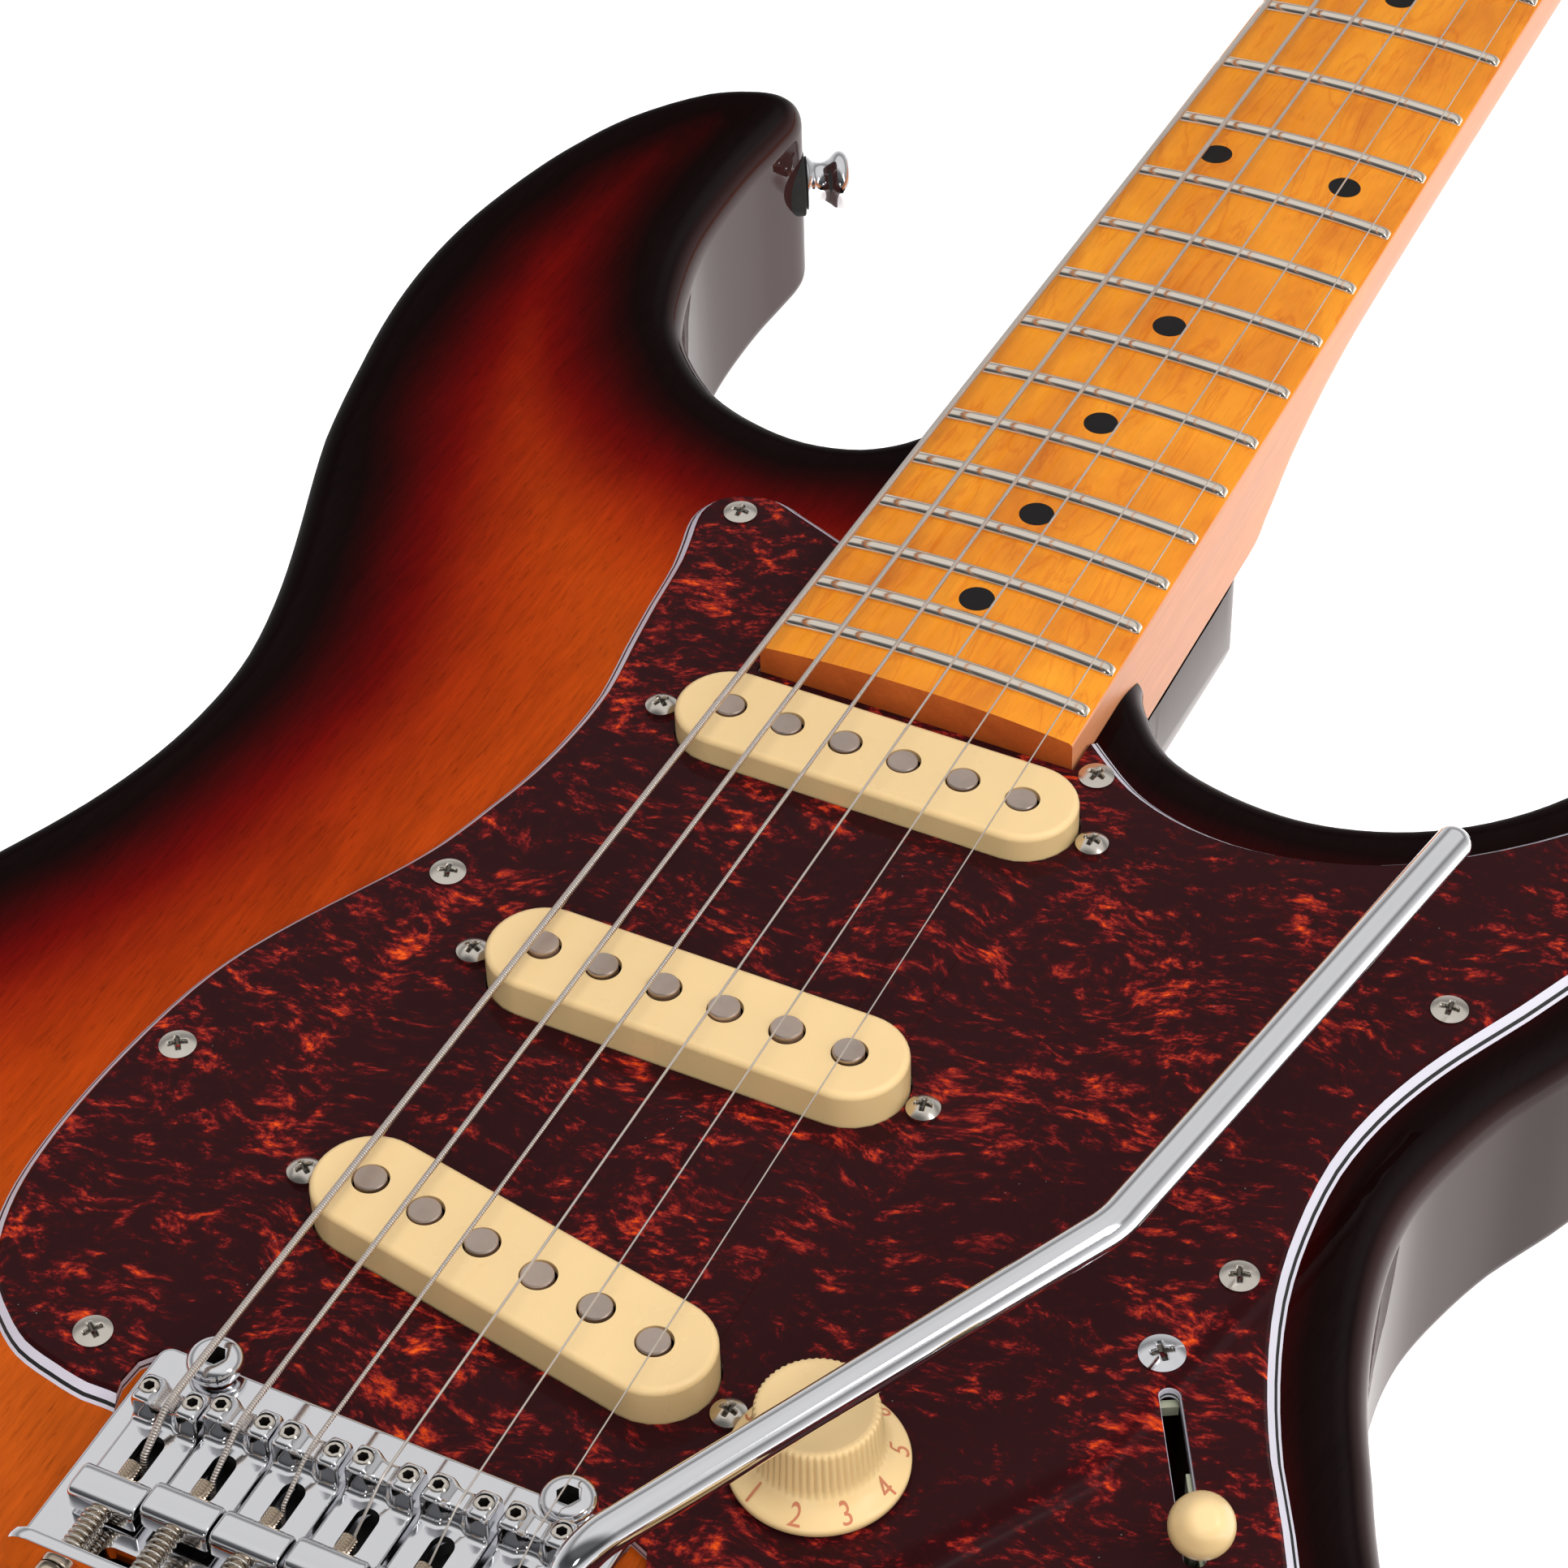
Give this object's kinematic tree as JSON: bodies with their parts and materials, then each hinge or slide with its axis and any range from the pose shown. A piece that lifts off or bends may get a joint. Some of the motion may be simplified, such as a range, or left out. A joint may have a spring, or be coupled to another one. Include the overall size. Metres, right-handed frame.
{
  "type": "electric guitar",
  "caption": "Solid-body electric guitar: double-cutaway body, bolt-on maple neck, single-coil pickups, rocking tremolo with its arm, turning knobs, selector switch and geared tuners.",
  "frame": {"origin": "outer face of the flush back cover, on the centre line, straight behind the bridge end of the 648 mm string scale; the flat back of the body is z = 0", "axes": "+X to the treble side, +Y from the bridge to the headstock, +Z out of the front of the guitar"},
  "size_m": [0.3232, 0.9783, 0.0834],
  "materials": {
    "sunburst_body": "gloss lacquer, three-tone sunburst, orange centre to black edge",
    "maple_neck": "satin tinted maple",
    "maple_fretboard": "gloss amber maple, with black dots and nickel frets",
    "nut_bone": "off-white, lightly polished",
    "tortoise_pickguard": "dark red tortoise, layered white and black edge",
    "cream_plastic": "aged cream, semi-gloss",
    "black_plastic": "semi-gloss black",
    "plain_steel": "satin plated steel",
    "string_nickel": "plain and wound steel strings",
    "chrome_hardware": "polished chrome"
  },
  "bodies": {
    "guitar": {"body": "sunburst_body", "neck": "maple_neck", "fretboard": "maple_fretboard", "nut": "nut_bone", "pickguard": "tortoise_pickguard", "control_assembly": "plain_steel", "neck_plate": "chrome_hardware", "back_cover": "black_plastic", "jack_plate": "chrome_hardware", "strap_button_upper": "chrome_hardware", "strap_button_end": "chrome_hardware", "trem_claw": "plain_steel", "trem_post_bass": "chrome_hardware", "trem_post_treble": "chrome_hardware", "tuner_housing_1": "chrome_hardware", "tuner_housing_2": "chrome_hardware", "tuner_housing_3": "chrome_hardware", "tuner_housing_4": "chrome_hardware", "tuner_housing_5": "chrome_hardware", "tuner_housing_6": "chrome_hardware", "pickup_cover_neck": "cream_plastic", "pickup_coil_neck": "plain_steel", "pickup_cover_middle": "cream_plastic", "pickup_coil_middle": "plain_steel", "pickup_cover_bridge": "cream_plastic", "pickup_coil_bridge": "plain_steel", "trem_spring_1": "plain_steel", "trem_spring_2": "plain_steel", "trem_spring_3": "plain_steel", "string_1": "string_nickel", "string_2": "string_nickel", "string_3": "string_nickel", "string_4": "string_nickel", "string_5": "string_nickel", "string_6": "string_nickel"},
    "tremolo_bridge": {"bridge_plate": "chrome_hardware", "trem_block": "plain_steel", "saddle_1": "chrome_hardware", "saddle_2": "chrome_hardware", "saddle_3": "chrome_hardware", "saddle_4": "chrome_hardware", "saddle_5": "chrome_hardware", "saddle_6": "chrome_hardware"},
    "tremolo_arm": {"trem_arm": "chrome_hardware"},
    "volume_knob": {"knob_volume": "cream_plastic"},
    "tone_knob_a": {"knob_tone_a": "cream_plastic"},
    "tone_knob_b": {"knob_tone_b": "cream_plastic"},
    "switch": {"switch_lever": "cream_plastic"},
    "tuner_key_1": {"tuner_button_1": "chrome_hardware"},
    "tuner_shaft_1": {"tuner_post_1": "chrome_hardware"},
    "tuner_key_2": {"tuner_button_2": "chrome_hardware"},
    "tuner_shaft_2": {"tuner_post_2": "chrome_hardware"},
    "tuner_key_3": {"tuner_button_3": "chrome_hardware"},
    "tuner_shaft_3": {"tuner_post_3": "chrome_hardware"},
    "tuner_key_4": {"tuner_button_4": "chrome_hardware"},
    "tuner_shaft_4": {"tuner_post_4": "chrome_hardware"},
    "tuner_key_5": {"tuner_button_5": "chrome_hardware"},
    "tuner_shaft_5": {"tuner_post_5": "chrome_hardware"},
    "tuner_key_6": {"tuner_button_6": "chrome_hardware"},
    "tuner_shaft_6": {"tuner_post_6": "chrome_hardware"}
  },
  "joints": [
    {"name": "tremolo_rock", "type": "hinge", "parent": "guitar", "child": "tremolo_bridge", "pos_m": [0, 0.0028, 0.04975], "axis": [1, 0, 0], "range_deg": [-8, 4], "stiffness_Nm_per_rad": 10, "deforming": ["string_1", "string_2", "string_3", "string_4", "string_5", "string_6", "trem_spring_1", "trem_spring_2", "trem_spring_3"]},
    {"name": "arm_swing", "type": "hinge", "parent": "tremolo_bridge", "child": "tremolo_arm", "pos_m": [0.037, -0.0123, 0.048], "axis": [0, 0, 1], "range_deg": [-100, 10]},
    {"name": "volume_turn", "type": "hinge", "parent": "guitar", "child": "volume_knob", "pos_m": [0.0534, 0.0303, 0.047], "axis": [0, 0, 1], "range_deg": [-140, 140]},
    {"name": "tone_a_turn", "type": "hinge", "parent": "guitar", "child": "tone_knob_a", "pos_m": [0.0772, -0.0013, 0.047], "axis": [0, 0, 1], "range_deg": [-140, 140]},
    {"name": "tone_b_turn", "type": "hinge", "parent": "guitar", "child": "tone_knob_b", "pos_m": [0.101, -0.0329, 0.047], "axis": [0, 0, 1], "range_deg": [-140, 140]},
    {"name": "switch_tilt", "type": "hinge", "parent": "guitar", "child": "switch", "pos_m": [0.099, 0.0503, 0.0225], "axis": [0.8682, 0.4961, 0], "range_deg": [-52, 0]},
    {"name": "tuner_1_key_turn", "type": "hinge", "parent": "guitar", "child": "tuner_key_1", "pos_m": [-0.02679, 0.67752, 0.0234], "axis": [-0.9673, 0.2535, 0], "continuous": true},
    {"name": "tuner_1_post_turn", "type": "hinge", "parent": "guitar", "child": "tuner_shaft_1", "pos_m": [-0.02099, 0.676, 0.0234], "axis": [0, 0, 1], "continuous": true},
    {"name": "tuner_2_key_turn", "type": "hinge", "parent": "guitar", "child": "tuner_key_2", "pos_m": [-0.01956, 0.70252, 0.0234], "axis": [-0.9673, 0.2535, 0], "continuous": true},
    {"name": "tuner_2_post_turn", "type": "hinge", "parent": "guitar", "child": "tuner_shaft_2", "pos_m": [-0.01376, 0.701, 0.0234], "axis": [0, 0, 1], "continuous": true},
    {"name": "tuner_3_key_turn", "type": "hinge", "parent": "guitar", "child": "tuner_key_3", "pos_m": [-0.01265, 0.72752, 0.0234], "axis": [-0.9673, 0.2535, 0], "continuous": true},
    {"name": "tuner_3_post_turn", "type": "hinge", "parent": "guitar", "child": "tuner_shaft_3", "pos_m": [-0.00685, 0.726, 0.0234], "axis": [0, 0, 1], "continuous": true},
    {"name": "tuner_4_key_turn", "type": "hinge", "parent": "guitar", "child": "tuner_key_4", "pos_m": [-0.00608, 0.75252, 0.0234], "axis": [-0.9673, 0.2535, 0], "continuous": true},
    {"name": "tuner_4_post_turn", "type": "hinge", "parent": "guitar", "child": "tuner_shaft_4", "pos_m": [-0.00028, 0.751, 0.0234], "axis": [0, 0, 1], "continuous": true},
    {"name": "tuner_5_key_turn", "type": "hinge", "parent": "guitar", "child": "tuner_key_5", "pos_m": [0.00011, 0.77752, 0.0234], "axis": [-0.9673, 0.2535, 0], "continuous": true},
    {"name": "tuner_5_post_turn", "type": "hinge", "parent": "guitar", "child": "tuner_shaft_5", "pos_m": [0.00591, 0.776, 0.0234], "axis": [0, 0, 1], "continuous": true},
    {"name": "tuner_6_key_turn", "type": "hinge", "parent": "guitar", "child": "tuner_key_6", "pos_m": [0.00596, 0.80252, 0.0234], "axis": [-0.9673, 0.2535, 0], "continuous": true},
    {"name": "tuner_6_post_turn", "type": "hinge", "parent": "guitar", "child": "tuner_shaft_6", "pos_m": [0.01177, 0.801, 0.0234], "axis": [0, 0, 1], "continuous": true}
  ],
  "couplings": [
    {"joint": "tuner_1_post_turn", "follows": "tuner_1_key_turn", "ratio": 0.066667},
    {"joint": "tuner_2_post_turn", "follows": "tuner_2_key_turn", "ratio": 0.066667},
    {"joint": "tuner_3_post_turn", "follows": "tuner_3_key_turn", "ratio": 0.066667},
    {"joint": "tuner_4_post_turn", "follows": "tuner_4_key_turn", "ratio": 0.066667},
    {"joint": "tuner_5_post_turn", "follows": "tuner_5_key_turn", "ratio": 0.066667},
    {"joint": "tuner_6_post_turn", "follows": "tuner_6_key_turn", "ratio": 0.066667}
  ]
}
